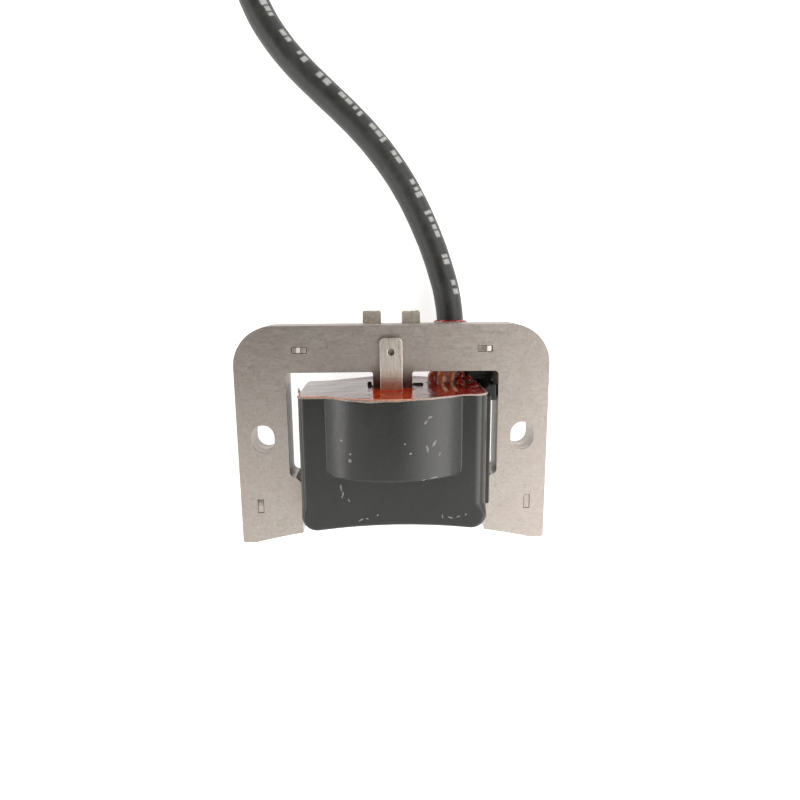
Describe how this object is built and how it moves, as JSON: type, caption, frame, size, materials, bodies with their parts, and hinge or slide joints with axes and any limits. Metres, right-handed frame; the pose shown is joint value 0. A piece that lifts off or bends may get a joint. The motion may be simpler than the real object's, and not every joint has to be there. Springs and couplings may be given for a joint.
{
  "type": "ignition coil",
  "caption": "Ignition coil of a small engine: laminated E core, potted coil case, stop terminal and a rubber spark lead with its plug boot.",
  "frame": {"origin": "on the surface that the coil lies on, under the middle of the coil's box without its lead and boot", "axes": "+X across the core, +Y from the flywheel side towards the core's top bar and the lead, +Z out of the core's front face, the side with the stop terminal"},
  "size_m": [0.1604, 0.2186, 0.0395],
  "materials": {
    "core_steel": "rolled silicon steel, matt, with fine grain",
    "case_plastic": "moulded glass-filled plastic, dark grey",
    "epoxy": "glossy orange-red cast epoxy",
    "blade_tin": "tin plated",
    "clip_steel": "plated strip steel, dull",
    "bobbin_plastic": "natural nylon",
    "copper_wire": "enamelled copper wire",
    "fine_wire": "fine enamelled copper wire",
    "board": "green solder mask",
    "chip_plastic": "black moulding compound",
    "capacitor_blue": "dipped film capacitor",
    "resistor_body": "lacquered",
    "contact_brass": "plain brass",
    "lead_rubber": "black rubber jacket",
    "boot_rubber": "black moulded rubber",
    "terminal_spring": "spring steel"
  },
  "bodies": {
    "root": {"lamination_01": "core_steel", "lamination_02": "core_steel", "lamination_03": "core_steel", "lamination_04": "core_steel", "lamination_05": "core_steel", "lamination_06": "core_steel", "lamination_07": "core_steel", "lamination_08": "core_steel", "lamination_09": "core_steel", "lamination_10": "core_steel", "lamination_11": "core_steel", "lamination_12": "core_steel", "lamination_13": "core_steel", "lamination_14": "core_steel", "lamination_15": "core_steel", "coil_case": "case_plastic", "stop_terminal": "blade_tin", "core_clip": "clip_steel", "epoxy_potting": "epoxy", "primary_bobbin": "bobbin_plastic", "primary_winding": "copper_wire", "secondary_bobbin": "bobbin_plastic", "secondary_winding": "fine_wire", "control_board": "board", "power_transistor": "chip_plastic", "driver_chip": "chip_plastic", "capacitor": "capacitor_blue", "resistor": "resistor_body", "diode": "chip_plastic", "high_tension_contact": "contact_brass", "spark_lead": "lead_rubber", "plug_boot": "boot_rubber", "plug_terminal": "terminal_spring"}
  },
  "joints": []
}
